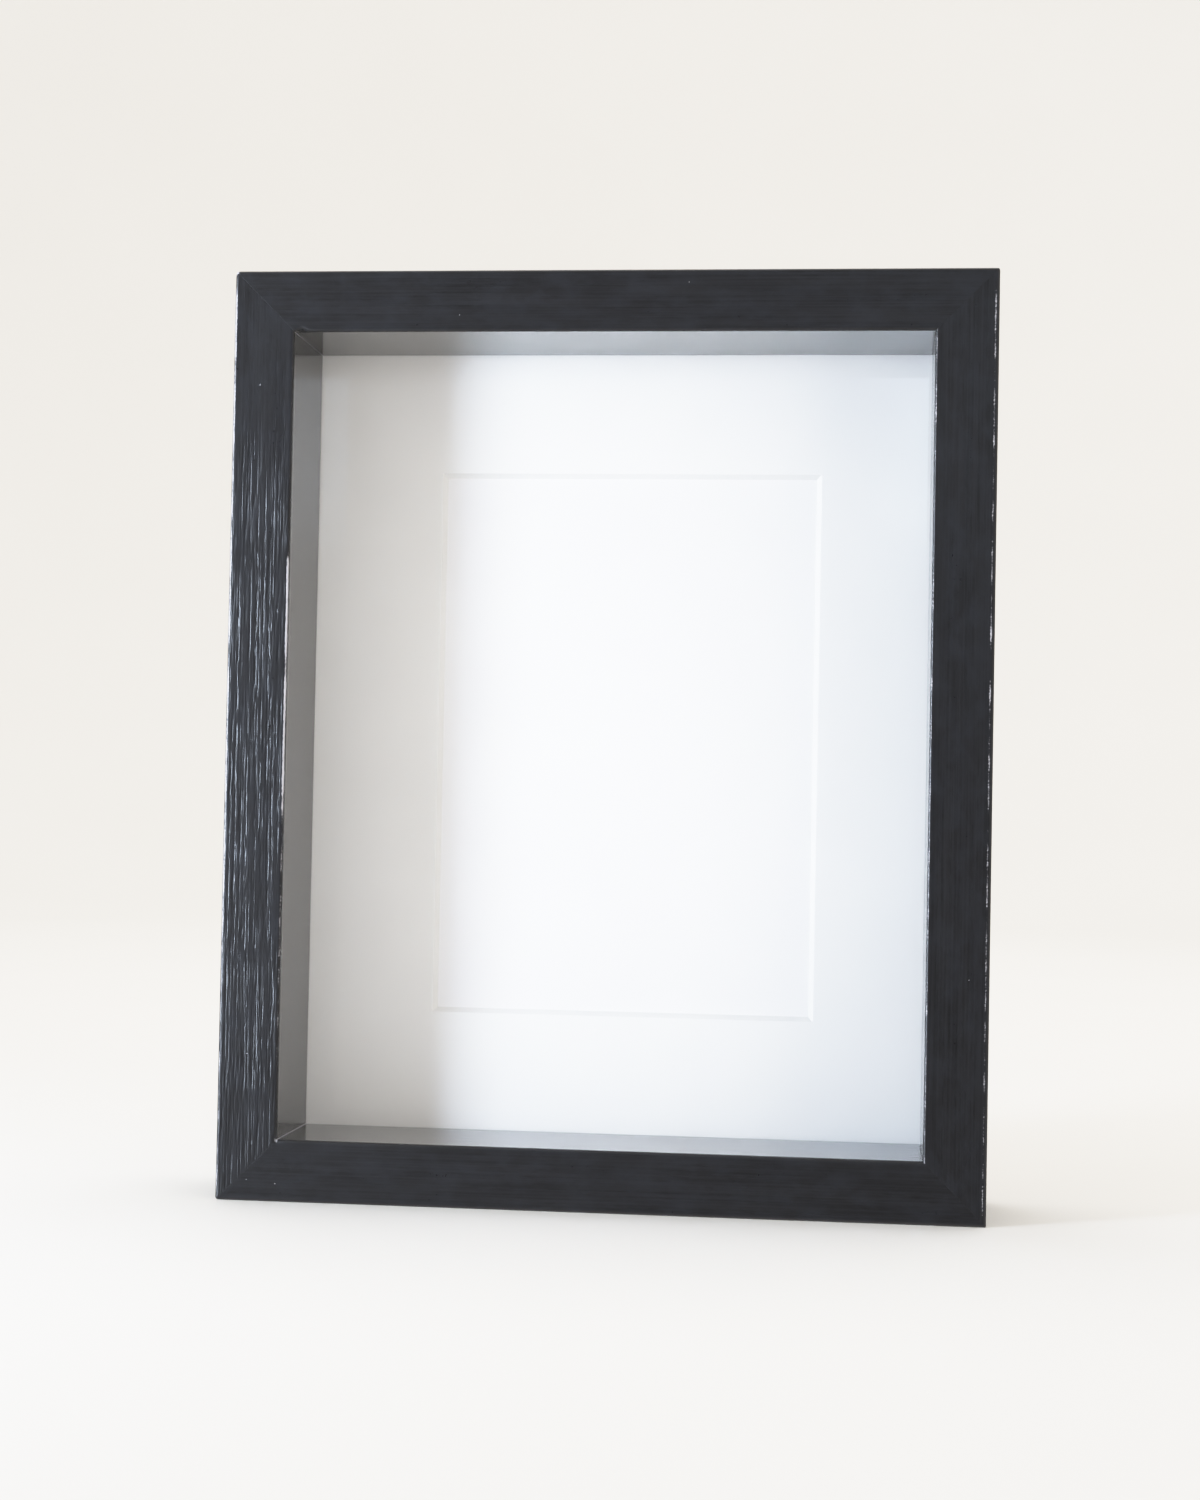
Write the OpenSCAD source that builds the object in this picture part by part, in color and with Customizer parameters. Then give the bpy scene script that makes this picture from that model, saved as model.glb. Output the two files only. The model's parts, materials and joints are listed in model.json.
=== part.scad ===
// Shadow box: a deep mitred wooden frame that holds glass, a window mat, a sheet and a back at its rear.
// Millimetres. +X is right, -Y is the front, +Z is up. The origin is under the middle of the whole box.

/* [Frame] */
// Width of the opening that the front shows
sight_w = 190.5; // [150:0.5:250]
// Height of the opening that the front shows
sight_h = 241.3; // [236:0.1:320]
// Width of the moulding's front face
face_w = 18.4; // [17:0.1:24]
// Depth from the front face to the glass
wall_depth = 39; // [20:0.5:60]
// Radius that rounds the two long edges of the front face
arris_r = 0.9; // [0.3:0.1:2]

/* [Layers behind the front walls] */
// How far the rabbet's ledge covers the layers on each side
ledge_w = 7.15; // [5:0.05:7.5]
// Gap round the edges of the layers
layer_gap = 0.8; // [0.3:0.1:1.5]
// Thickness of the glass
glass_t = 2; // [1.5:0.1:3]
// Thickness of the window mat
mat_t = 1.5; // [1:0.1:2.5]
// Thickness of the sheet behind the mat
sheet_t = 0.3; // [0.2:0.1:0.6]
// Thickness of the filler board
filler_t = 3; // [1:0.5:5]
// Thickness of the back panel
back_t = 3; // [2:0.5:4]

/* [Mat window] */
// Width of the mat's window at its back face
window_w = 115.4; // [60:0.1:130]
// Height of the mat's window at its back face
window_h = 165.6; // [80:0.1:190]
// How far the window sits to the right of the middle
window_shift_x = 2.9; // [-4:0.1:4]
// How far the window sits above the middle
window_shift_z = -0.4; // [-4:0.1:4]

/* [Turn buttons] */
// Length of a turn button from its pivot to its far end
button_reach = 18; // [15:0.5:18.5]
// Width of a turn button
button_w = 8; // [7:0.5:9]
// Thickness of a turn button
button_t = 1.2; // [0.8:0.1:1.5]
// Distance of the side turn buttons above and below the middle
button_spread = 44; // [30:1:45]

/* [Hangers] */
// Distance of the hanger rings' pins below the top of the frame
hanger_drop = 50; // [46:1:50]
// Width of a hanger strap
strap_w = 8.4; // [7:0.1:8.8]
// Thickness of a hanger strap
strap_t = 0.9; // [0.7:0.1:1]
// Diameter of a hanger ring's wire
wire_d = 1.8; // [1.5:0.1:1.8]
// Height of the rubber bumpers behind the frame
bumper_h = 4.4; // [4.3:0.1:6]

/* [Hidden] */
$fn = 48;

// The frame and the space in its rabbet
outer_w = sight_w + 2 * face_w;
outer_h = sight_h + 2 * face_w;
seat_play = 0.2;
rabbet_d = glass_t + mat_t + sheet_t + filler_t + back_t + seat_play;
frame_d = wall_depth + rabbet_d;
rear_w = face_w - ledge_w;
front_y = -(frame_d + bumper_h) / 2;
glass_y = front_y + wall_depth;
rear_y = front_y + frame_d;
layer_w = sight_w + 2 * (ledge_w - layer_gap);
layer_h = sight_h + 2 * (ledge_w - layer_gap);
cut = 1;

// Fasteners in the mitres, driven in from behind, two to a corner
nail_t = 0.6;
nail_leg = 5;
nail_l = 14;
nail_sink = 0.4;
nail_edge = 3;

// Pan-head wood screws
screw_r = 1.25;
screw_l = 9;
screw_tip = 2.5;
head_r = 2.7;
head_t = 1.6;
recess_l = 3;
recess_w = 0.7;
recess_d = 0.9;
pilot_play = 0.02;

// Turn buttons turn on their screws, just clear of the wood
pivot_edge = rear_w / 2;
pivot_play = 0.06;
lift = 0.12;
rib_w = 2;
rib_h = 0.5;
rib_start = 5;

// Hanger straps fold round the straight side of a D-shaped ring
wire_r = wire_d / 2;
eye_r = wire_r + 0.06;
knuckle_r = eye_r + strap_t;
ring_r = strap_w / 2 + 0.3 + wire_r;
ring_leg = 3;
pin_y = knuckle_r + 0.3;
strap_below = 21;
strap_screw = 15.5;
ring_clear = 0.15;
hanger_x = outer_w / 2 - ring_r - wire_r - ring_clear;
hanger_z = outer_h - hanger_drop;

bumper_r = 4.5;
bumper_edge = 6;
bumper_round = 0.8;

// Where each turn button is: its pivot's x and z, and the turn that points it at the panel's middle
BUTTONS = [
    [0, outer_h - pivot_edge, 180],
    [0, pivot_edge, 0],
    [-outer_w / 2 + pivot_edge, outer_h / 2 + button_spread, 90],
    [-outer_w / 2 + pivot_edge, outer_h / 2 - button_spread, 90],
    [outer_w / 2 - pivot_edge, outer_h / 2 + button_spread, -90],
    [outer_w / 2 - pivot_edge, outer_h / 2 - button_spread, -90]
];

// ---- Helpers ----

// Extrudes a shape drawn in x and z from y = 0 to y = depth
module along_y(depth) {
    translate([0, depth, 0]) rotate([90, 0, 0]) linear_extrude(depth) children();
}

// A layer of the stack, centred behind the opening
module layer(y, thickness) {
    translate([-layer_w / 2, y, (outer_h - layer_h) / 2]) cube([layer_w, thickness, layer_h]);
}

// ---- Frame ----

// The moulding's section: x is the depth from the front, y the distance from the outer face
module rail_section() {
    difference() {
        square([frame_d, face_w]);
        translate([wall_depth, rear_w]) square([rabbet_d + cut, ledge_w + cut]);
        for (side = [0, 1]) translate([0, side * face_w]) mirror([0, side]) difference() {
            translate([-cut, -cut]) square(arris_r + cut);
            translate([arris_r, arris_r]) circle(arris_r);
        }
    }
}

// A rail that lies along X with its outer face down and its ends mitred
module mitred_rail(length) {
    intersection() {
        translate([-length / 2, front_y, 0]) rotate([90, 0, 90]) linear_extrude(length) rail_section();
        translate([0, front_y - cut, 0]) along_y(frame_d + 2 * cut) polygon([
            [-length / 2, 0], [length / 2, 0], [length / 2 - face_w, face_w], [-length / 2 + face_w, face_w]
        ]);
    }
}

// One V-nail's outline from behind: two legs that meet on the mitre line
module v_nail_outline() {
    translate([nail_edge, nail_edge + nail_leg - nail_t]) square([nail_leg, nail_t]);
    translate([nail_edge + nail_leg - nail_t, nail_edge]) square([nail_t, nail_leg]);
}

// Places its children at the four corners, turned so that +X and +Z point into the frame
module at_corners() {
    for (right = [0, 1], top = [0, 1])
        translate([(right - 0.5) * outer_w, 0, top * outer_h]) mirror([right, 0, 0]) mirror([0, 0, top]) children();
}

module v_nail_slots() {
    depth = nail_sink + 2 * nail_l + nail_sink;
    at_corners() translate([0, rear_y - depth, 0]) along_y(depth + cut) v_nail_outline();
}

module screw_holes() {
    for (b = BUTTONS) translate([b[0], rear_y, b[1]]) pilot_hole();
    for (side = [-1, 1]) translate([side * hanger_x, rear_y, hanger_z - strap_screw]) pilot_hole();
}

module pilot_hole() {
    translate([0, cut, 0]) rotate([90, 0, 0]) cylinder(r = screw_r + pilot_play, h = screw_l + cut);
}

module drilled() {
    difference() {
        children();
        v_nail_slots();
        screw_holes();
    }
}

module bottom_rail() {
    color("#1c1c1e") drilled() mitred_rail(outer_w);
}

module top_rail() {
    color("#1c1c1e") drilled() translate([0, 0, outer_h]) mirror([0, 0, 1]) mitred_rail(outer_w);
}

module side_rail(side) {
    color("#1c1c1e") drilled() translate([side * outer_w / 2, 0, outer_h / 2]) rotate([0, -side * 90, 0])
        mitred_rail(outer_h);
}

module left_rail() {
    side_rail(-1);
}

module right_rail() {
    side_rail(1);
}

module corner_v_nails() {
    color("silver") at_corners() for (row = [0, 1])
        translate([0, rear_y - nail_sink - nail_l - row * (nail_l + nail_sink), 0]) along_y(nail_l)
            v_nail_outline();
}

// ---- Layers, from the front ----

module glass_pane() {
    color([0.85, 0.92, 0.95, 0.3]) layer(glass_y, glass_t);
}

// The window is cut at 45 degrees, wider at the front
module window_mat() {
    mat_y = glass_y + glass_t;
    color("white") difference() {
        layer(mat_y, mat_t);
        translate([window_shift_x, mat_y, outer_h / 2 + window_shift_z]) intersection() {
            translate([0, 0, -window_h]) linear_extrude(2 * window_h) bevel_outline(window_w / 2);
            translate([-window_w, 0, 0]) rotate([90, 0, 90]) linear_extrude(2 * window_w)
                mirror([1, -1]) bevel_outline(window_h / 2);
        }
    }
}

// Across the window, half its back width to each side and a mat's thickness more at the front
module bevel_outline(half) {
    front = half + mat_t;
    polygon([[-front - cut, -cut], [front + cut, -cut], [half - cut, mat_t + cut], [-half + cut, mat_t + cut]]);
}

module insert_sheet() {
    color("#f7f6fa") layer(glass_y + glass_t + mat_t, sheet_t);
}

module filler_board() {
    color("#c9c6bf") layer(glass_y + glass_t + mat_t + sheet_t, filler_t);
}

module back_panel() {
    color("#7b5a3c") layer(glass_y + glass_t + mat_t + sheet_t + filler_t, back_t);
}

// ---- Fasteners ----

// A screw that is driven in along -Y, with the underside of its head at y = 0
module wood_screw() {
    rotate([-90, 0, 0]) {
        translate([0, 0, -screw_l + screw_tip]) cylinder(r = screw_r, h = screw_l - screw_tip + 0.2);
        translate([0, 0, -screw_l]) cylinder(r1 = 0.15, r2 = screw_r, h = screw_tip);
        difference() {
            screw_head();
            for (turn = [0, 90]) rotate(turn)
                translate([-recess_l / 2, -recess_w / 2, head_t - recess_d]) cube([recess_l, recess_w, recess_d + cut]);
        }
    }
}

// A low dome: the cap of a sphere that is head_r wide at its base
module screw_head() {
    dome_r = (head_r * head_r + head_t * head_t) / (2 * head_t);
    intersection() {
        translate([0, 0, head_t - dome_r]) sphere(dome_r);
        cylinder(r = head_r, h = head_t + cut);
    }
}

// ---- Turn buttons ----

// A stamped strip with round ends, a pivot hole and a raised rib, pointing along +Z
module turn_button(index) {
    b = BUTTONS[index];
    color("goldenrod") translate([b[0], rear_y + lift, b[1]]) rotate([0, b[2], 0]) difference() {
        union() {
            along_y(button_t) strip_outline(0, button_reach - button_w / 2, button_w);
            translate([0, button_t, 0]) along_y(rib_h)
                strip_outline(rib_start, button_reach - button_w / 2, rib_w);
        }
        translate([0, -cut, 0]) rotate([-90, 0, 0]) cylinder(r = screw_r + pivot_play, h = button_t + 2 * cut);
    }
}

// A strip with round ends, whose end circles are centred at the two heights
module strip_outline(low, high, width) {
    translate([-width / 2, low]) square([width, high - low]);
    for (end = [low, high]) translate([0, end]) circle(d = width);
}

module turn_button_top() {
    turn_button(0);
}

module turn_button_bottom() {
    turn_button(1);
}

module turn_button_left_upper() {
    turn_button(2);
}

module turn_button_left_lower() {
    turn_button(3);
}

module turn_button_right_upper() {
    turn_button(4);
}

module turn_button_right_lower() {
    turn_button(5);
}

module turn_button_screws() {
    color("gold") for (b = BUTTONS) translate([b[0], rear_y + 2 * lift + button_t, b[1]]) wood_screw();
}

// ---- Hangers ----

module at_hanger(side) {
    translate([side * hanger_x, rear_y, hanger_z]) children();
}

// A flat strap whose top is rolled into an eye round the ring's pin
module hanger_strap(side) {
    color("goldenrod") at_hanger(side) difference() {
        union() {
            along_y(strap_t) {
                translate([-strap_w / 2, -strap_below + strap_w / 2])
                    square([strap_w, strap_below - strap_w / 2]);
                translate([0, -strap_below + strap_w / 2]) circle(d = strap_w);
            }
            translate([-strap_w / 2, 0, -strap_t]) cube([strap_w, pin_y, strap_t + 0.2]);
            translate([-strap_w / 2, pin_y, 0]) rotate([0, 90, 0]) cylinder(r = knuckle_r, h = strap_w);
        }
        translate([-strap_w / 2 - cut, pin_y, 0]) rotate([0, 90, 0]) cylinder(r = eye_r, h = strap_w + 2 * cut);
        translate([0, -cut, -strap_screw]) rotate([-90, 0, 0])
            cylinder(r = screw_r + pilot_play, h = strap_t + 2 * cut);
    }
}

module hanger_strap_left() {
    hanger_strap(-1);
}

module hanger_strap_right() {
    hanger_strap(1);
}

// The ring hangs down from its pin: two legs and a half circle of wire
module hanger_ring(side) {
    color("goldenrod") at_hanger(side) translate([0, pin_y, 0]) {
        translate([-ring_r, 0, 0]) rotate([0, 90, 0]) cylinder(r = wire_r, h = 2 * ring_r);
        for (end = [-1, 1]) translate([end * ring_r, 0, 0]) {
            sphere(wire_r);
            translate([0, 0, -ring_leg]) cylinder(r = wire_r, h = ring_leg);
        }
        translate([0, 0, -ring_leg]) rotate([-90, 0, 0]) rotate_extrude(angle = 180)
            translate([ring_r, 0]) circle(wire_r);
    }
}

module hanger_ring_left() {
    hanger_ring(-1);
}

module hanger_ring_right() {
    hanger_ring(1);
}

module hanger_screws() {
    color("gold") for (side = [-1, 1]) at_hanger(side) translate([0, strap_t, -strap_screw]) wood_screw();
}

// ---- Bumpers ----

// Rubber pads with a flat top and a rounded rim, near the four corners
module wall_bumpers() {
    color("#2b2b2b") at_corners() translate([bumper_edge, rear_y, bumper_edge + nail_leg + nail_edge + bumper_r])
        rotate([-90, 0, 0]) rotate_extrude() bumper_section();
}

module bumper_section() {
    square([bumper_r, bumper_h - bumper_round]);
    square([bumper_r - bumper_round, bumper_h]);
    translate([bumper_r - bumper_round, bumper_h - bumper_round]) intersection() {
        circle(bumper_round);
        square(bumper_round);
    }
}

top_rail();
bottom_rail();
left_rail();
right_rail();
corner_v_nails();
glass_pane();
window_mat();
insert_sheet();
filler_board();
back_panel();
turn_button_top();
turn_button_bottom();
turn_button_left_upper();
turn_button_left_lower();
turn_button_right_upper();
turn_button_right_lower();
turn_button_screws();
hanger_strap_left();
hanger_strap_right();
hanger_ring_left();
hanger_ring_right();
hanger_screws();
wall_bumpers();
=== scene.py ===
"""The looks of the shadow box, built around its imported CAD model. Lengths are in metres."""
import json
import math

import bmesh
import bpy
import numpy as np
from mathutils import Matrix, Vector
from mathutils import noise as field


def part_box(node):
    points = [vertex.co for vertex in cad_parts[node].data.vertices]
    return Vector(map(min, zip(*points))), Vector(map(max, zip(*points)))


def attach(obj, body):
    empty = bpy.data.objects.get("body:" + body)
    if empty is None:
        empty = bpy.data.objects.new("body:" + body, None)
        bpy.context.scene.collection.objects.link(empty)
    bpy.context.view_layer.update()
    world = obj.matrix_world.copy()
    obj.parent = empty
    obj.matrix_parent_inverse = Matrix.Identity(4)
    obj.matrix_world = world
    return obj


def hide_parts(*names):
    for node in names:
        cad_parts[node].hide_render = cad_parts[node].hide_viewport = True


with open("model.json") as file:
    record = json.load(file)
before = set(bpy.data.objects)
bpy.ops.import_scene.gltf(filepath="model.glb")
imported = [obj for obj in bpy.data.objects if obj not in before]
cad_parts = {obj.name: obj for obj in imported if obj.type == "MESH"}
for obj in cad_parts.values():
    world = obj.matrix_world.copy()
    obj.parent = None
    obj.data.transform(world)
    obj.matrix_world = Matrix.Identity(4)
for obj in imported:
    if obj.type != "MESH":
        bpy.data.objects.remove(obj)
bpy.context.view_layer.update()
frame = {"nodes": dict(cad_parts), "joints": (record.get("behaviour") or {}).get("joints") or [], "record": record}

MM = 0.001

# ---- The frame's sizes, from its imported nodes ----

LEFT, RIGHT, TOP, BOTTOM = (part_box(side + "_rail") for side in ("left", "right", "top", "bottom"))
OUTER_W = RIGHT[1].x - LEFT[0].x
OUTER_H = TOP[1].z - BOTTOM[0].z
FACE_W = LEFT[1].x - LEFT[0].x
FRONT_Y, REAR_Y = LEFT[0].y, LEFT[1].y
DEPTH = REAR_Y - FRONT_Y
WALL_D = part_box("glass_pane")[0].y - FRONT_Y
REBATE = 7.15 * MM  # how far the rebate for the glass and back cuts into the face's width
REAR_W = FACE_W - REBATE
MID_Z = OUTER_H / 2

ARRIS = 0.9 * MM  # radius of the face's long edges
REAR_ARRIS = 0.4 * MM
SEAM_W = 0.3 * MM  # half the width of the dip along a mitre
SEAM_DEPTH = 0.02 * MM

SIDE, FRONT, WALL, BACK = range(4)  # the zones of a rail's section

SOFT_BOX_SHARE = 0.49  # how much of a lamp's light its soft edges leave


# ---- Shader nodes ----


class Nodes:
    """A node tree that short calls add to and link. Inputs are values or sockets."""

    def __init__(self, tree):
        self.tree = tree

    def add(self, kind, inputs=None, out=0, **settings):
        node = self.tree.nodes.new("ShaderNode" + kind)
        for key, value in settings.items():
            setattr(node, key, value)
        for key, value in (inputs or {}).items():
            if isinstance(value, bpy.types.NodeSocket):
                self.tree.links.new(value, node.inputs[key])
            else:
                node.inputs[key].default_value = value
        return node.outputs[out] if node.outputs else None

    def math(self, operation, a, b=0.0):
        return self.add("Math", {0: a, 1: b}, operation=operation)

    def fit(self, value, low, high, to_low=0.0, to_high=1.0, **settings):
        """value from low..high to to_low..to_high, clamped."""
        found = {0: value, 1: low, 2: high, 3: to_low, 4: to_high}
        return self.add("MapRange", found, clamp=True, **settings)


class Shader(Nodes):
    """A material's nodes."""

    def __init__(self, name):
        self.material = bpy.data.materials.new(name)
        self.material.use_nodes = True
        super().__init__(self.material.node_tree)
        self.tree.nodes.clear()

    def place(self, scale=(1, 1, 1), attribute=None):
        """Object coordinates, or a mesh's own attribute, in millimetres times scale."""
        if attribute:
            source = self.add("Attribute", attribute_name=attribute, out="Vector")
        else:
            source = self.add("TexCoord", out="Object")
        size = tuple(1000 * s for s in scale)
        return self.add("VectorMath", {0: source, 1: size}, operation="MULTIPLY")

    def noise(self, vector, scale=1.0, detail=3.0, rough=0.55, warp=0.0):
        found = {"Vector": vector, "Scale": scale, "Detail": detail, "Roughness": rough, "Distortion": warp}
        return self.add("TexNoise", found)

    def spots(self, vector, scale, radius, share):
        """Small round spots: 1 inside, in that share of a lattice's cells."""
        node = self.tree.nodes.new("ShaderNodeTexVoronoi")
        self.tree.links.new(vector, node.inputs["Vector"])
        node.inputs["Scale"].default_value = scale
        near = self.math("LESS_THAN", node.outputs["Distance"], radius)
        chosen = self.add("SeparateColor", {0: node.outputs["Color"]})
        return self.math("MULTIPLY", near, self.math("LESS_THAN", chosen, share))

    def mix(self, factor, a, b):
        colours = [(*c, 1) if isinstance(c, tuple) else c for c in (a, b)]
        return self.add("Mix", {0: factor, 6: colours[0], 7: colours[1]}, out=2, data_type="RGBA")

    def bump(self, height, distance, strength=1.0):
        return self.add("Bump", {"Height": height, "Distance": distance, "Strength": strength})

    def surface(self, **inputs):
        """Ends the material in a Principled shader. Names have _ for a space."""
        shader = self.add("BsdfPrincipled", {k.replace("_", " "): v for k, v in inputs.items()})
        self.add("OutputMaterial", {"Surface": shader})
        return self.material


# ---- Materials ----


def worn_and_highlit(s, black, amount_name):
    """black with its paint rubbed off where the mesh's attribute says, broken up by noise. On the left rail's arrises
    the same pale colour is painted highlight as well as wear.
    """
    amount = s.add("Attribute", attribute_name=amount_name, out="Fac")
    broken = s.noise(s.place(attribute="grain"), 1.6, 4, 0.7)
    mask = s.fit(s.math("ADD", amount, s.math("MULTIPLY", broken, 0.9)), 0.98, 1.22)
    return s.mix(mask, black, (0.46, 0.45, 0.48)), mask


def dusted(s, colour, share, speck):
    """colour with tiny specks of dust in another colour."""
    specks = s.spots(s.place(attribute="grain"), 0.22, 0.032, share)
    return s.mix(specks, colour, speck), specks


def black_wood(name, tone, rough, grain_depth, specks):
    """Satin black lacquer over open grain, with painted sheen in bluish patches, rubbed edges that are partly painted
    highlight, and dust. The mesh says how open the grain is.
    """
    s = Shader(name)
    fibres = s.noise(s.place((0.018, 1.7, 1.0), "grain"), 1.0, 1, 0.5)
    fine = s.noise(s.place((0.04, 3.6, 1.0), "grain"), 1.0, 1, 0.5)
    broad = s.noise(s.place((0.03, 0.22, 0.2), "grain"), 1.0, 3, 0.5)
    rows = s.fit(s.noise(s.place((0.015, 1.5, 1.0), "grain"), 1.0, 1, 0.5), 0.50, 0.68)
    gaps = s.fit(s.noise(s.place((0.16, 1.5, 3.0), "grain"), 1.0, 2, 0.5), 0.42, 0.60)
    pores = s.math("MULTIPLY", rows, gaps)
    mottle = s.noise(s.place((0.7, 0.7, 0.7), "grain"), 1.0, 4, 0.6)
    openness = s.add("Attribute", attribute_name="open", out="Fac")
    base = s.mix(s.fit(fibres, 0.3, 0.7), tuple(0.72 * t for t in tone), tuple(1.3 * t for t in tone))
    base = s.mix(s.math("MULTIPLY", pores, 0.6), base, tuple(0.4 * t for t in tone))
    # Painted sheen: lighter bluish patches in the base colour stand for the window's reflection on the lacquer.
    painted_sheen = s.noise(s.place((0.10, 0.16, 0.16), "grain"), 1.0, 4, 0.6)
    base = s.mix(s.fit(painted_sheen, 0.42, 0.66, 0.0, 0.5), base, (0.018, 0.0195, 0.025))
    # Pale rubbed edges: real wear, and painted highlight where the left rail's arrises catch the window.
    base, rubbed = worn_and_highlit(s, base, "wear_and_highlight")
    base, dust = dusted(s, base, specks, (0.42, 0.42, 0.44))
    gloss = s.fit(s.math("ADD", s.math("MULTIPLY", mottle, 0.6), s.math("MULTIPLY", broad, 0.4)),
                  0.3, 0.7, rough - 0.04, rough + 0.12)
    gloss = s.math("MAXIMUM", gloss, s.math("MULTIPLY", s.math("MAXIMUM", rubbed, dust), 0.72))
    height = s.math("SUBTRACT", s.math("MULTIPLY", fibres, 0.5), pores)
    height = s.math("ADD", height, s.math("MULTIPLY", fine, 0.2))
    height = s.math("MULTIPLY", height, openness)
    height = s.math("ADD", height, s.math("MULTIPLY", mottle, 0.09))
    return s.surface(Base_Color=base, Roughness=gloss, IOR=1.5,
                     Normal=s.bump(height, grain_depth, 1.0))


def gloss_wall(name):
    """The inner walls: clear lacquer over smooth black, nearly a mirror at a low angle."""
    s = Shader(name)
    where = s.place((0.06, 0.5, 0.5), "grain")
    flow = s.noise(where, 1.0, 3, 0.5)
    base = s.mix(s.fit(flow, 0.3, 0.7), (0.012, 0.012, 0.0125), (0.02, 0.0195, 0.02))
    base, rubbed = worn_and_highlit(s, base, "wear_and_highlight")
    base, dust = dusted(s, base, 0.14, (0.05, 0.046, 0.042))
    gloss = s.fit(flow, 0.3, 0.7, 0.16, 0.24)
    gloss = s.math("MAXIMUM", gloss, s.math("MULTIPLY", s.math("MAXIMUM", rubbed, dust), 0.6))
    return s.surface(Base_Color=base, Roughness=gloss, IOR=1.5, Coat_Weight=0.6, Coat_Roughness=0.08,
                     Normal=s.bump(flow, 0.02 * MM, 0.5))


def back_wood(name):
    """The stained back of the moulding: thin, dull, with brown wood showing through."""
    s = Shader(name)
    fibres = s.noise(s.place((0.12, 1.8, 1.8), "grain"), 1.0, 5, 0.65, 0.2)
    patches = s.noise(s.place((0.02, 0.12, 0.12), "grain"), 1.0, 3, 0.5)
    thin = s.math("MULTIPLY", s.fit(fibres, 0.42, 0.72), s.fit(patches, 0.42, 0.62, 0.15, 0.9))
    base = s.mix(thin, (0.016, 0.015, 0.015), (0.085, 0.052, 0.032))
    base, rubbed = worn_and_highlit(s, base, "wear_and_highlight")
    return s.surface(Base_Color=base, Roughness=s.fit(fibres, 0.3, 0.7, 0.52, 0.7), IOR=1.48,
                     Normal=s.bump(fibres, 0.09 * MM, 0.8))


def board(name, tone, rough, grain, tint):
    """Paper or board: fine felted fibres, a slow change of tone and a matte surface."""
    s = Shader(name)
    felt = s.noise(s.place(), grain, 5, 0.7)
    slow = s.noise(s.place(), 0.025, 2, 0.5)
    shade = s.math("ADD", s.math("MULTIPLY", felt, 0.5), s.math("MULTIPLY", slow, 0.5))
    base = s.mix(s.fit(shade, 0.35, 0.65), tuple(0.975 * t for t in tone), tint)
    return s.surface(Base_Color=base, Roughness=s.fit(felt, 0.3, 0.7, rough - 0.05, rough + 0.05),
                     Specular_IOR_Level=0.3, Normal=s.bump(felt, 0.012 * MM, 0.6))


def hardboard():
    """Pressed brown fibreboard: short fibres, darker flecks and arcs rubbed by the turn buttons."""
    s = Shader("brown_hardboard")
    where = s.place()
    fibre = s.noise(where, 2.2, 6, 0.72)
    strands = s.fit(s.noise(s.place((0.5, 1.0, 2.4)), 1.0, 4, 0.7, 1.6), 0.50, 0.68)
    fleck = s.fit(s.noise(s.place((1.3, 1.0, 0.8)), 1.0, 3, 0.6, 1.2), 0.60, 0.70)
    slow = s.noise(where, 0.02, 2, 0.5)
    base = s.mix(s.fit(fibre, 0.3, 0.7), (0.125, 0.067, 0.036), (0.205, 0.118, 0.066))
    base = s.mix(s.math("MULTIPLY", strands, 0.4), base, (0.26, 0.16, 0.095))
    base = s.mix(s.math("MULTIPLY", fleck, 0.75), base, (0.058, 0.031, 0.019))
    base = s.mix(s.fit(slow, 0.35, 0.65, 0.0, 0.16), base, (0.24, 0.145, 0.085))
    rubbed = 0.0
    for node in BUTTON_NODES:
        away = s.add("VectorMath", {0: s.add("TexCoord", out="Object"), 1: tuple(pivot_of(node))},
                     out="Value", operation="DISTANCE")
        swing = s.math("MULTIPLY", away, 1000)
        arc = s.math("MULTIPLY", s.fit(swing, 11.0, 13.0), s.fit(swing, 16.6, 17.6, 1.0, 0.0))
        rubbed = s.math("MAXIMUM", arc, rubbed)
    lines = s.fit(s.noise(s.place((0.5, 0.5, 0.5)), 3.0, 4, 0.75, 1.0), 0.50, 0.60)
    rubbed = s.math("MULTIPLY", s.math("MULTIPLY", rubbed, lines), 0.6)
    base = s.mix(rubbed, base, (0.36, 0.25, 0.16))
    gloss = s.fit(fibre, 0.3, 0.7, 0.42, 0.62)
    height = s.math("ADD", fibre, s.math("MULTIPLY", strands, 0.3))
    height = s.math("SUBTRACT", height, s.math("MULTIPLY", fleck, 0.4))
    return s.surface(Base_Color=base, Roughness=gloss, Normal=s.bump(height, 0.09 * MM, 0.9))


def plated(name, bright, dull, rough, scratch):
    """Thin bright plating: cloudy tarnish, fine scratches and a little dirt."""
    s = Shader(name)
    cloud = s.noise(s.place(), 0.35, 4, 0.6)
    hairs = s.noise(s.place((6, 6, 0.5)), 1.0, 3, 0.7)
    spots = s.spots(s.place(), 0.7, 0.12, 0.25)
    base = s.mix(s.fit(cloud, 0.35, 0.65), bright, dull)
    base = s.mix(s.math("MULTIPLY", spots, 0.6), base, tuple(0.3 * d for d in dull))
    gloss = s.fit(s.math("ADD", s.math("MULTIPLY", cloud, 0.6), s.math("MULTIPLY", hairs, 0.4)),
                  0.3, 0.7, rough - 0.08, rough + 0.12)
    return s.surface(Base_Color=base, Metallic=1.0, Roughness=gloss,
                     Normal=s.bump(hairs, 0.006 * MM, scratch))


def rubber():
    s = Shader("black_rubber")
    skin = s.noise(s.place(), 2.5, 4, 0.6)
    dust = s.fit(s.noise(s.place(), 0.6, 3, 0.6), 0.5, 0.7)
    base = s.mix(s.math("MULTIPLY", dust, 0.5), (0.018, 0.018, 0.018), (0.06, 0.06, 0.058))
    return s.surface(Base_Color=base, Roughness=s.fit(skin, 0.3, 0.7, 0.6, 0.8),
                     Normal=s.bump(skin, 0.02 * MM, 0.8))


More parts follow.
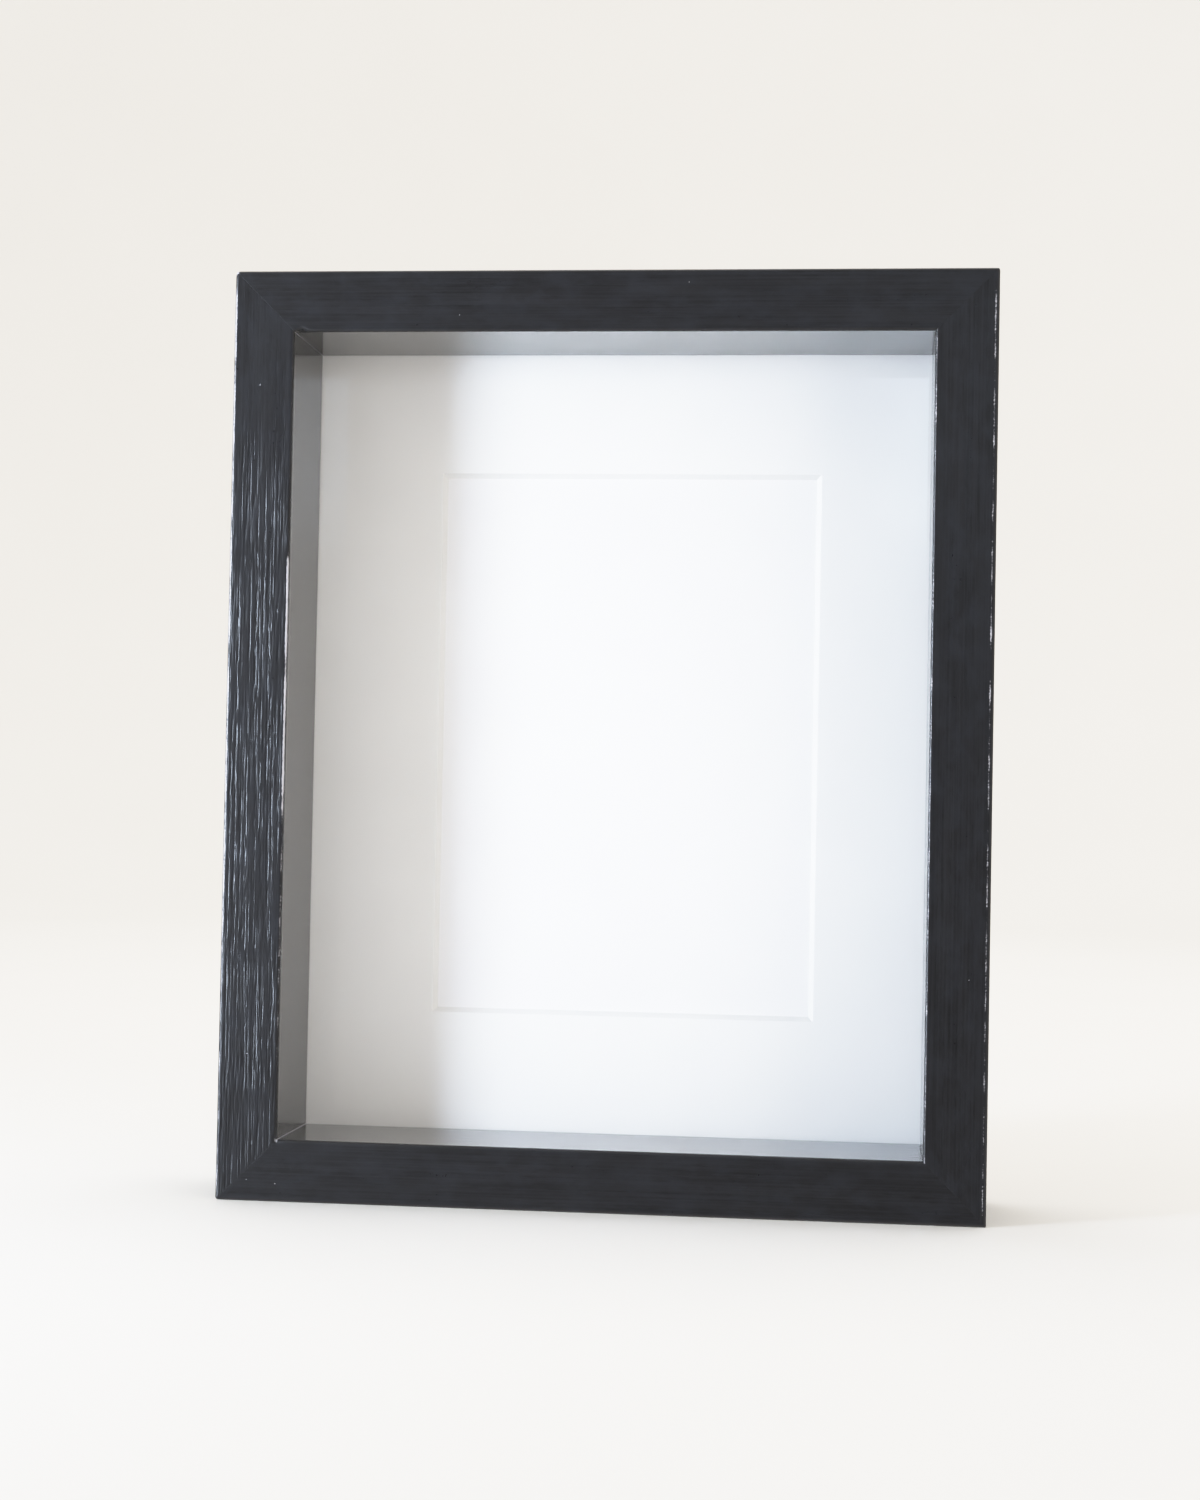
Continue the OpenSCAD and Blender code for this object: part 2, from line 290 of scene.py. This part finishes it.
def clear_glass():
    s = Shader("clear_glass")
    haze = s.noise(s.place(), 0.05, 3, 0.6)
    return s.surface(Base_Color=s.mix(haze, (0.972, 0.98, 0.985), (0.982, 0.99, 0.993)), IOR=1.5,
                     Roughness=0.0, Transmission_Weight=1.0,
                     Normal=s.bump(haze, 0.01 * MM, 0.3))


# ---- Rails ----


def arc(centre, radius, start, end, steps):
    """Points on a circle, from one angle to another in degrees, without the first."""
    angles = np.radians(np.linspace(start, end, steps + 1)[1:])
    return [(centre[0] + radius * math.cos(a), centre[1] + radius * math.sin(a)) for a in angles]


def line(start, end, step):
    """Points on a straight stretch about step apart, without the first."""
    count = max(1, round(math.dist(start, end) / step))
    return [(start[0] + (end[0] - start[0]) * k / count, start[1] + (end[1] - start[1]) * k / count)
            for k in range(1, count + 1)]


def rail_outline():
    """The moulding's section as points of (depth, across) with the zone of the stretch that ends at each."""
    a, f = ARRIS, FACE_W
    stretches = [
        (SIDE, line((DEPTH - REAR_ARRIS, 0), (a, 0), 0.5 * MM)),
        (FRONT, arc((a, a), a, 270, 180, 6)),
        (FRONT, line((0, a), (0, f - a), 0.25 * MM)),
        (FRONT, arc((a, f - a), a, 180, 120, 4)),
        (WALL, arc((a, f - a), a, 120, 90, 2)),
        (WALL, line((a, f), (WALL_D - 0.3 * MM, f), 0.8 * MM)),
        (WALL, line((WALL_D - 0.3 * MM, f), (WALL_D, f - 0.2 * MM), MM)),
        (BACK, line((WALL_D, f - 0.2 * MM), (WALL_D, REAR_W), 4 * MM)),
        (BACK, line((WALL_D, REAR_W), (DEPTH - 0.2 * MM, REAR_W), 4 * MM)),
        (BACK, line((DEPTH - 0.2 * MM, REAR_W), (DEPTH, REAR_W - 0.2 * MM), MM)),
        (BACK, line((DEPTH, REAR_W - 0.2 * MM), (DEPTH, REAR_ARRIS), 0.6 * MM)),
        (BACK, arc((DEPTH - REAR_ARRIS, REAR_ARRIS), REAR_ARRIS, 0, -90, 3)),
    ]
    points = np.array([p for _, stretch in stretches for p in stretch])
    zones = np.array([zone for zone, stretch in stretches for _ in stretch])
    return points, zones


def rail_stations(half):
    """Distances along a rail for each outline point, close together next to the mitres."""
    near = np.array([0.0, 0.1, 0.22, 0.36, 0.6, 1.0, 1.6, 2.5]) * MM
    middle = np.linspace(0, 1, 1 + int(2 * half.max() / (1.35 * MM)))[1:-1]
    left = -half[None, :] + near[:, None]
    right = half[None, :] - near[::-1, None]
    between = left[-1] + (right[0] - left[-1]) * middle[:, None]
    return np.vstack([left, between, right])


def pore_relief(along, around, reach, gap, seed):
    """Narrow pores pressed straight along the grain, one grid line wide: how deep each point lies, from 0 to 1."""
    rng = np.random.default_rng(seed)
    relief = np.zeros_like(along)
    for column in np.flatnonzero((around > reach[0]) & (around < reach[1])):
        middle = along[0, column] + rng.uniform(0, gap)
        while middle < along[-1, column]:
            half, deep = rng.uniform(1.4, 6.5) * MM, rng.uniform(0.35, 1.0)
            inside = deep * np.clip(1 - ((along[:, column] - middle) / half) ** 2, 0, 1) ** 0.6
            relief[:, column] = np.maximum(relief[:, column], inside)
            middle += half + rng.exponential(gap)
    return relief


def smooth_noise(values, scale, seed):
    """Slow random values from -1 to 1 along a line of numbers."""
    return np.array([field.noise(Vector((v / scale, seed * 7.3, 0.0))) for v in values.ravel()]).reshape(values.shape)


def edge_wear_and_highlight(along, around, edge, spread, level, spans, seed):
    """Wear and painted highlight along one long edge: level everywhere and more inside the given spans."""
    close = np.exp(-((around - edge) / spread) ** 2)
    amount = np.full(along.shape[0], level)
    middle = along.mean(axis=1)
    for low, high, extra in spans:
        inside = np.clip((middle - low) / (6 * MM), 0, 1) * np.clip((high - middle) / (6 * MM), 0, 1)
        amount = amount + extra * inside
    amount = amount + 0.28 * smooth_noise(middle, 9 * MM, seed) + 0.2 * smooth_noise(middle, 2.6 * MM, seed + 1)
    return np.clip(amount, 0, 1)[:, None] * close[None, :]


def rounded_corner(points, radius_at):
    """Brings points outside the box's rounded upright corners in onto them."""
    for right in (False, True):
        for top in (False, True):
            radius = radius_at.get((right, top), 0.5 * MM)
            dx = OUTER_W / 2 - points[:, 0] if right else points[:, 0] + OUTER_W / 2
            dz = OUTER_H - points[:, 2] if top else points[:, 2]
            ux, uz = radius - dx, radius - dz
            size = np.hypot(ux, uz)
            out = (ux > 0) & (uz > 0) & (size > radius)
            share = radius / size[out]
            nx, nz = radius - ux[out] * share, radius - uz[out] * share
            points[out, 0] = OUTER_W / 2 - nx if right else nx - OUTER_W / 2
            points[out, 2] = OUTER_H - nz if top else nz


def dented(points, wear_and_highlight, where, radius, depth, direction, pale):
    """Knocks a small chip out around a point."""
    away = np.linalg.norm(points - np.array(where), axis=1) / radius
    hit = np.clip(1 - away ** 2, 0, 1) ** 2
    points += (hit * depth)[:, None] * np.array(direction)
    np.maximum(wear_and_highlight, pale * np.clip(1.35 * hit, 0, 1), out=wear_and_highlight)


def make_rail(name, length, place, seed, pore_depth, open_grain, wear_and_highlight_plan, joint_wear, chips, materials):
    """A mitred rail as a closed grid: the moulding's outline swept between its two mitres."""
    outline, zones = rail_outline()
    depth, across = outline[:, 0], outline[:, 1]
    count = len(outline)
    half = length / 2 - across
    along = rail_stations(half)
    step = np.linalg.norm(outline - np.roll(outline, 1, axis=0), axis=1)
    around = np.cumsum(step)

    tangent = np.roll(outline, -1, axis=0) - np.roll(outline, 1, axis=0)
    tangent /= np.linalg.norm(tangent, axis=1)[:, None]
    outward = np.stack([-tangent[:, 1], tangent[:, 0]], axis=1)

    front = np.flatnonzero(zones == FRONT)
    side = np.flatnonzero(zones == SIDE)
    reach = (around[side[0]] - 1 * MM, around[front[-1]])
    relief = pore_relief(along, around, reach, 34 * MM, seed)
    grainy = np.isin(zones, (SIDE, FRONT))
    edge_fade = np.clip((half[None, :] - np.abs(along)) / (1.5 * MM) - 0.2, 0, 1)
    opened = np.where(zones == SIDE, 0.4, open_grain(along))
    opened = opened * (0.85 + 0.4 * smooth_noise(along[:, 0], 22 * MM, seed + 5))[:, None]
    inset = relief * pore_depth * opened * grainy[None, :] * edge_fade
    wander = smooth_noise(along[:, :1] + 0 * along, 30 * MM, seed)[:, :1]
    wall = (zones == WALL) & (depth > 2 * MM)
    inset = inset + 0.03 * MM * (wander + 1) * wall[None, :]
    seam = np.clip(1 - (half[None, :] - np.abs(along)) / SEAM_W, 0, 1) ** 2
    inset = inset + SEAM_DEPTH * seam * (zones != BACK)[None, :]

    local = np.empty((along.shape[0], count, 3))
    local[..., 0] = along
    local[..., 1] = FRONT_Y + depth[None, :] - inset * outward[:, 0][None, :]
    local[..., 2] = across[None, :] - inset * outward[:, 1][None, :]

    edges = {"outer": around[front[3]], "face": around[front[6]], "inner": around[front[-3]]}
    wear_and_highlight = np.zeros_like(along)
    for which, spread, level, spans in wear_and_highlight_plan:
        wear_and_highlight = np.maximum(wear_and_highlight, edge_wear_and_highlight(along, around, edges[which], spread, level, spans, seed + len(which)))
    rear_edge = edge_wear_and_highlight(along, around, around[-2], 0.4 * MM, 0.35, [], seed + 9)
    at_joint = np.exp(-((half[None, :] - np.abs(along)) / (0.3 * MM)) ** 2) * (zones == WALL)[None, :]
    wear_and_highlight = np.maximum(wear_and_highlight, at_joint * np.where(along < 0, *joint_wear))
    wear_and_highlight = np.maximum(wear_and_highlight, rear_edge).ravel()

    points = place(local.reshape(-1, 3))
    rounded_corner(points, CORNER_RADII)
    for where, radius, deep, direction, pale in chips:
        dented(points, wear_and_highlight, where, radius, deep, direction, pale)

    rows = along.shape[0]
    k = np.arange(rows - 1)[:, None] * count + np.arange(count)[None, :]
    ahead = np.arange(rows - 1)[:, None] * count + np.roll(np.arange(count), -1)[None, :]
    quads = np.stack([k, ahead, ahead + count, k + count], axis=-1).reshape(-1, 4)
    quad_zone = np.tile(np.roll(zones, -1), rows - 1)
    slots = np.select([quad_zone == WALL, quad_zone == BACK], [1, 2], 0)
    faces = [tuple(int(v) for v in q) for q in quads]
    faces += [tuple(range(count))[::-1], tuple(range((rows - 1) * count, rows * count))]

    mesh = bpy.data.meshes.new(name)
    mesh.from_pydata([tuple(p) for p in points], [], faces)
    grain = np.stack([along, np.broadcast_to(around, along.shape), np.full_like(along, seed * 0.05)], axis=-1)
    mesh.attributes.new("grain", "FLOAT_VECTOR", "POINT").data.foreach_set("vector", grain.astype(np.float32).ravel())
    mesh.attributes.new("wear_and_highlight", "FLOAT", "POINT").data.foreach_set("value", wear_and_highlight.astype(np.float32))
    mesh.attributes.new("open", "FLOAT", "POINT").data.foreach_set("value", opened.astype(np.float32).ravel())
    for material in materials:
        mesh.materials.append(material)
    mesh.polygons.foreach_set("material_index", np.append(slots, [2, 2]).astype(np.int32))
    shape = bmesh.new()
    shape.from_mesh(mesh)
    caps = [f for f in shape.faces if len(f.verts) > 4]
    bmesh.ops.triangulate(shape, faces=caps)
    bmesh.ops.recalc_face_normals(shape, faces=shape.faces)
    shape.to_mesh(mesh)
    shape.free()
    mesh.shade_smooth()
    mesh.set_sharp_from_angle(angle=math.radians(40))
    piece = bpy.data.objects.new(name, mesh)
    bpy.context.scene.collection.objects.link(piece)
    return piece


def place_bottom(p):
    return p.copy()


def place_top(p):
    return p * (1, 1, -1) + (0, 0, OUTER_H)


def place_left(p):
    return np.stack([p[:, 2] - OUTER_W / 2, p[:, 1], p[:, 0] + MID_Z], axis=1)


def place_right(p):
    return np.stack([OUTER_W / 2 - p[:, 2], p[:, 1], p[:, 0] + MID_Z], axis=1)


def nail_slots():
    """The slots over the V-nails: their top faces drawn out through the frame's back."""
    source = frame["nodes"]["corner_v_nails"].data
    top = max(v.co.y for v in source.vertices)
    shape = bmesh.new()
    shape.from_mesh(source)
    low = [f for f in shape.faces if min(v.co.y for v in f.verts) < top - 0.01 * MM]
    bmesh.ops.delete(shape, geom=low, context="FACES")
    bmesh.ops.remove_doubles(shape, verts=shape.verts, dist=0.001 * MM)
    floor = list(shape.faces)
    made = bmesh.ops.extrude_face_region(shape, geom=floor, use_keep_orig=True)
    for v in made["geom"]:
        if isinstance(v, bmesh.types.BMVert):
            v.co.y = REAR_Y + 0.6 * MM
    bmesh.ops.recalc_face_normals(shape, faces=shape.faces)
    mesh = bpy.data.meshes.new("nail_slots")
    shape.to_mesh(mesh)
    shape.free()
    return bpy.data.objects.new("nail_slots", mesh)


def cut_by(piece, cutter):
    """Takes cutter's shape out of piece."""
    cut = piece.modifiers.new("cut", "BOOLEAN")
    cut.operation, cut.solver, cut.object = "DIFFERENCE", "EXACT", cutter
    bpy.context.view_layer.update()
    made = bpy.data.meshes.new_from_object(piece.evaluated_get(bpy.context.evaluated_depsgraph_get()))
    piece.modifiers.clear()
    old, piece.data = piece.data, made
    bpy.data.meshes.remove(old)


# ---- Pieces made from CAD nodes ----


def softened(node, edge, material):
    """A copy of a CAD node with its sharp edges rounded, which stands for the node."""
    source = frame["nodes"][node]
    shape = bmesh.new()
    shape.from_mesh(source.data)
    bmesh.ops.remove_doubles(shape, verts=shape.verts, dist=0.001 * MM)
    bmesh.ops.dissolve_limit(shape, angle_limit=math.radians(0.6), verts=shape.verts, edges=shape.edges)
    mesh = bpy.data.meshes.new(node + "_shaped")
    shape.to_mesh(mesh)
    shape.free()
    mesh.materials.clear()
    mesh.materials.append(material)
    piece = bpy.data.objects.new(node + "_shaped", mesh)
    bpy.context.scene.collection.objects.link(piece)
    bevel = piece.modifiers.new("rounded", "BEVEL")
    bevel.width, bevel.segments, bevel.limit_method = edge, 2, "ANGLE"
    bevel.angle_limit = math.radians(38)
    bevel.use_clamp_overlap = True
    bpy.context.view_layer.update()
    made = bpy.data.meshes.new_from_object(piece.evaluated_get(bpy.context.evaluated_depsgraph_get()))
    piece.modifiers.clear()
    piece.data = made
    made.shade_smooth()
    made.set_sharp_from_angle(angle=math.radians(50))
    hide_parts(node)
    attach(piece, BODY_OF[node])
    return piece


def repaint(node, material):
    """Gives a CAD node that stays its procedural material."""
    mesh = frame["nodes"][node].data
    mesh.materials.clear()
    mesh.materials.append(material)


def pivot_of(node):
    """Where a turn button's joint is, as the record gives it."""
    joint = next(j for j in frame["joints"] if j["child"] == BODY_OF[node])
    return Vector(joint["pos_m"])


BODY_OF = {n: body for body, nodes in frame["record"]["behaviour"]["bodies"].items() for n in nodes}
BUTTON_NODES = [n for n in sorted(BODY_OF) if BODY_OF[n].startswith("button_")]
CORNER_RADII = {(False, False): 1.3 * MM, (True, True): 1.0 * MM}


# ---- The mat ----


def make_mat(face, core):
    """The window mat, with its bevel through the core and a little soft at the front edge."""
    lo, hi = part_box("window_mat")
    points = np.array([v.co for v in frame["nodes"]["window_mat"].data.vertices])
    inside = (np.abs(points[:, 0]) < hi.x - MM) & (points[:, 2] > lo.z + MM) & (points[:, 2] < hi.z - MM)
    window = points[inside]
    narrow = window[window[:, 1] > (lo.y + hi.y) / 2]
    left, right, low, high = narrow[:, 0].min(), narrow[:, 0].max(), narrow[:, 2].min(), narrow[:, 2].max()
    thick = hi.y - lo.y

    def ring(x0, x1, z0, z1, y):
        return [(x0, y, z0), (x1, y, z0), (x1, y, z1), (x0, y, z1)]

    front = lo.y + 0.05 * MM  # just clear of the glass

    def window_ring(grow, y):
        return ring(left - grow, right + grow, low - grow, high + grow, y)

    soft = 0.12 * MM
    rings = [
        ring(lo.x, hi.x, lo.z, hi.z, hi.y),
        ring(lo.x, hi.x, lo.z, hi.z, front + soft),
        ring(lo.x + soft, hi.x - soft, lo.z + soft, hi.z - soft, front),
        window_ring(thick + 0.7 * soft, front),
        window_ring(thick - 0.15 * soft, front + 0.35 * soft),
        window_ring(thick - soft, front + soft),
        window_ring(0, hi.y),
    ]
    points = [p for r in rings for p in r]
    faces = []
    for i in range(len(rings)):
        a, b = 4 * i, 4 * ((i + 1) % len(rings))
        faces += [(a + k, a + (k + 1) % 4, b + (k + 1) % 4, b + k) for k in range(4)]
    mesh = bpy.data.meshes.new("window_mat_board")
    mesh.from_pydata(points, [], faces)
    mesh.materials.append(face)
    mesh.materials.append(core)
    mesh.polygons.foreach_set("material_index", [int(4 <= k // 4 <= 5) for k in range(len(faces))])
    shape = bmesh.new()
    shape.from_mesh(mesh)
    bmesh.ops.recalc_face_normals(shape, faces=shape.faces)
    shape.to_mesh(mesh)
    shape.free()
    piece = bpy.data.objects.new("window_mat_board", mesh)
    bpy.context.scene.collection.objects.link(piece)
    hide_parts("window_mat")
    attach(piece, BODY_OF["window_mat"])
    return piece


# ---- Camera, stage and light ----


def make_camera():
    """Square in front, a little right of the middle and below it, turned slightly."""
    turn = Vector([math.radians(a) for a in (-1.509, -6.227, -1.014)])
    to_camera = Matrix.Rotation(turn.length, 3, turn.normalized())
    upright = Matrix(((1, 0, 0), (0, 0, -1), (0, 1, 0)))
    camera = bpy.data.objects.new("camera", bpy.data.cameras.new("camera"))
    camera.data.lens = 59.18
    camera.data.sensor_width = 36
    camera.data.clip_start, camera.data.clip_end = 0.01, 50
    rotation = upright @ to_camera.transposed()
    camera.matrix_world = Matrix.Translation(
        (78.1 * MM, FRONT_Y - 721 * MM, MID_Z - 21.6 * MM)) @ rotation.to_4x4()
    bpy.context.scene.collection.objects.link(camera)
    bpy.context.scene.camera = camera


def swept_disc(name, outline, material):
    """Sweeps an outline of (radius, height) round the Z axis. A first radius of 0 closes the middle."""
    steps = 96
    turns = np.linspace(0, 2 * math.pi, steps, endpoint=False)
    points = [(r * math.cos(a), r * math.sin(a), z) for r, z in outline for a in turns]
    faces = [(steps * k + i, steps * (k + 1) + i, steps * (k + 1) + (i + 1) % steps, steps * k + (i + 1) % steps)
             for k in range(len(outline) - 1) for i in range(steps)]
    mesh = bpy.data.meshes.new(name)
    mesh.from_pydata(points, [], faces)
    mesh.materials.append(material)
    shape = bmesh.new()
    shape.from_mesh(mesh)
    bmesh.ops.remove_doubles(shape, verts=shape.verts, dist=MM)
    bmesh.ops.recalc_face_normals(shape, faces=shape.faces)
    shape.to_mesh(mesh)
    shape.free()
    mesh.shade_smooth()
    thing = bpy.data.objects.new(name, mesh)
    bpy.context.scene.collection.objects.link(thing)
    return thing


def make_stage():
    """A round pale floor, and a backdrop of the same pale colour that curves up all round it."""
    s = Shader("pale_floor")
    tone = s.noise(s.place(), 0.004, 2, 0.5)
    pale = s.surface(Base_Color=s.mix(tone, (0.78, 0.765, 0.74), (0.81, 0.795, 0.77)), Roughness=0.9,
                     Specular_IOR_Level=0.2)
    reach, bend = 1.9, 1.2
    floor = swept_disc("floor", [(0.0, 0.0), (0.5, 0.0), (1.2, 0.0), (reach, 0.0)], pale)
    floor.visible_glossy = floor.visible_transmission = False
    rise = [(reach + bend * math.sin(a), bend - bend * math.cos(a)) for a in np.radians(range(0, 91, 5))]
    backdrop = swept_disc("backdrop", rise + [(reach + bend, 4.0)], pale)
    backdrop.visible_diffuse = backdrop.visible_glossy = backdrop.visible_transmission = False
    backdrop.visible_shadow = False


def make_lamp(name, at, aim, size, power, colour, spread=180):
    """A rectangular lamp, aimed at a point: dimmer towards its edges and across its spread in degrees."""
    lamp = bpy.data.lights.new(name, "AREA")
    lamp.shape, lamp.size, lamp.size_y = "RECTANGLE", *size
    lamp.energy, lamp.color, lamp.spread = power / SOFT_BOX_SHARE, colour, math.radians(spread)
    lamp.use_nodes = True
    nodes = Nodes(lamp.node_tree)
    fades = []
    for side in (0, 1):
        across = nodes.add("SeparateXYZ", {0: nodes.add("NewGeometry", out="Parametric")}, out=side)
        from_middle = nodes.math("ABSOLUTE", nodes.math("SUBTRACT", across, 0.5))
        fades.append(nodes.fit(from_middle, 0.2, 0.5, 1.0, 0.0, interpolation_type="SMOOTHSTEP"))
    emission = lamp.node_tree.nodes["Emission"]
    lamp.node_tree.links.new(nodes.math("MULTIPLY", *fades), emission.inputs["Strength"])
    thing = bpy.data.objects.new(name, lamp)
    thing.location = at
    thing.rotation_mode = "QUATERNION"
    thing.rotation_quaternion = (Vector(aim) - Vector(at)).to_track_quat("-Z", "Y")
    thing.visible_camera = False
    bpy.context.scene.collection.objects.link(thing)
    return thing


def make_light():
    """Daylight from a window on the left, a warm reflector on the right, a cool card in front and a soft top."""
    world = bpy.data.worlds.new("room")
    world.use_nodes = True
    nodes = Nodes(world.node_tree)
    sky = world.node_tree.nodes["Background"]
    sky.inputs["Color"].default_value = (1.0, 0.965, 0.915, 1)
    ahead = nodes.add("VectorMath", {0: nodes.add("TexCoord", out="Generated"), 1: (0.10, -0.993, 0.06)},
                      out="Value", operation="DOT_PRODUCT")
    strength = nodes.fit(ahead, 0.78, 1.0, 0.82, 0.16, interpolation_type="SMOOTHSTEP")
    world.node_tree.links.new(strength, sky.inputs["Strength"])
    bpy.context.scene.world = world
    make_lamp("window", (-0.67, -0.49, 0.155), (-0.06, 0.0, 0.155), (0.25, 0.54), 3.3, (0.73, 0.84, 1.0), 105)
    reflector = make_lamp("reflector", (2.6, -2.03, MID_Z), (0, 0, MID_Z), (2.2, 2.0), 46, (1.0, 0.94, 0.88))
    reflector.visible_glossy = False
    make_lamp("card", (0.235, -1.5, 0.50), (0.0, 0.0, 0.2), (0.4, 0.36), 0.35, (0.72, 0.84, 1.0))
    make_lamp("top", (0.0, 0.7, 2.4), (0.0, 1.6, 0.2), (2.2, 2.2), 26, (1.0, 0.98, 0.95))


def set_tones():
    """A camera's usual tone curve: open middle tones and a soft shoulder under white."""
    view = bpy.context.scene.view_settings
    view.view_transform = "Standard"
    view.use_curve_mapping = True
    curves = view.curve_mapping
    white = 1.5
    curves.white_level = (white, white, white)
    curve = curves.curves[3]
    curve.points[-1].location = (1.0, 0.99)
    tones = ((0.03, 0.03), (0.1, 0.105), (0.25, 0.285), (0.5, 0.60), (0.7, 0.79), (0.9, 0.90), (1.15, 0.96))
    for light, tone in tones:
        curve.points.new(light / white, tone)
    curves.update()


# ---- Build ----

face_black = black_wood("black_wood", (0.0105, 0.0105, 0.0125), 0.30, 0.085 * MM, 0.10)
wall_black = gloss_wall("gloss_black_wall")
rear_black = back_wood("stained_back")
WOOD = [face_black, wall_black, rear_black]

FRONT_CORNER = Vector((-OUTER_W / 2, FRONT_Y, OUTER_H))
INNER_CORNER = Vector((-OUTER_W / 2 + FACE_W, FRONT_Y, FACE_W))
INNER_TOP = Vector((INNER_CORNER.x + 2 * MM, FRONT_Y, OUTER_H - FACE_W))
CHIPS = [
    (FRONT_CORNER, 1.7 * MM, 0.45 * MM, (0.6, 0.5, -0.6), 1.0),
    (INNER_CORNER, 1.7 * MM, 0.3 * MM, (-0.5, 0.6, -0.5), 0.62),
    (INNER_TOP, 2.2 * MM, 0.9 * MM, (0.0, 0.2, 1.0), 0.0),
]


def even(level):
    """Grain that is as open all along a rail."""
    return lambda along: np.full_like(along, level)


def open_below_top(along):
    """The left rail's grain: open, except near the top, where the lacquer fills it."""
    return np.clip((112 * MM - along) / (50 * MM), 0.12, 1.0)


RAILS = {
    "bottom_rail": (OUTER_W, place_bottom, 3, 0.05 * MM, even(0.2), [
        ("outer", 0.5 * MM, 0.12, []),
        ("inner", 0.45 * MM, 0.12, [(-100 * MM, -60 * MM, 0.2)])], (0.95, 0.3)),
    "top_rail": (OUTER_W, place_top, 4, 0.05 * MM, even(0.17), [
        ("outer", 0.5 * MM, 0.10, []),
        ("inner", 0.45 * MM, 0.12, [])], (0.7, 0.3)),
    # Painted highlight: the left rail's high edge levels and spans lay the window's glints on its arrises in as pale
    # wear.
    "left_rail": (OUTER_H, place_left, 5, 0.12 * MM, open_below_top, [
        ("outer", 0.55 * MM, 0.62, [(-60 * MM, 130 * MM, 0.15)]),
        ("inner", 0.5 * MM, 0.35, [(-30 * MM, 62 * MM, 0.6), (-110 * MM, -30 * MM, 0.2)])], (0.95, 0.7)),
    "right_rail": (OUTER_H, place_right, 6, 0.05 * MM, even(0.17), [
        ("face", 0.45 * MM, 0.58, []),
        ("inner", 0.4 * MM, 0.58, [])], (0.3, 0.3)),
}
slots = nail_slots()
bpy.context.scene.collection.objects.link(slots)
for node, plan in RAILS.items():
    rail = make_rail(node + "_wood", *plan, CHIPS, WOOD)
    cut_by(rail, slots)
    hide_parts(node)
    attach(rail, BODY_OF[node])

bpy.data.objects.remove(slots)

# The core is darker than the face: partly the board's own core colour, partly painted shade on the bevel.
make_mat(board("mat_board", (0.86, 0.86, 0.865), 0.85, 1.6, (0.885, 0.885, 0.89)),
         board("mat_core_and_bevel_shade", (0.74, 0.735, 0.73), 0.9, 3.0, (0.79, 0.785, 0.78)))
repaint("insert_sheet", board("white_paper", (0.87, 0.865, 0.89), 0.8, 2.6, (0.89, 0.89, 0.91)))
repaint("filler_board", board("grey_board", (0.50, 0.48, 0.44), 0.9, 0.9, (0.56, 0.54, 0.50)))
repaint("glass_pane", clear_glass())
frame["nodes"]["glass_pane"].visible_shadow = False
frame["nodes"]["glass_pane"].visible_diffuse = False
repaint("back_panel", hardboard())

brass = plated("brass_plate", (0.78, 0.60, 0.30), (0.58, 0.42, 0.20), 0.32, 0.6)
wire = plated("ring_wire", (0.80, 0.62, 0.32), (0.62, 0.46, 0.22), 0.24, 0.4)
screw = plated("screw_steel", (0.74, 0.62, 0.36), (0.56, 0.46, 0.27), 0.3, 0.5)
steel = plated("nail_steel", (0.60, 0.61, 0.63), (0.40, 0.40, 0.42), 0.38, 0.6)
for node in (*BUTTON_NODES, "hanger_strap_left", "hanger_strap_right"):
    softened(node, 0.18 * MM, brass)
for node in ("turn_button_screws", "hanger_screws"):
    softened(node, 0.1 * MM, screw)
for node in ("hanger_ring_left", "hanger_ring_right"):
    repaint(node, wire)
repaint("corner_v_nails", steel)
softened("wall_bumpers", 0.25 * MM, rubber())

make_camera()
make_stage()
make_light()
set_tones()
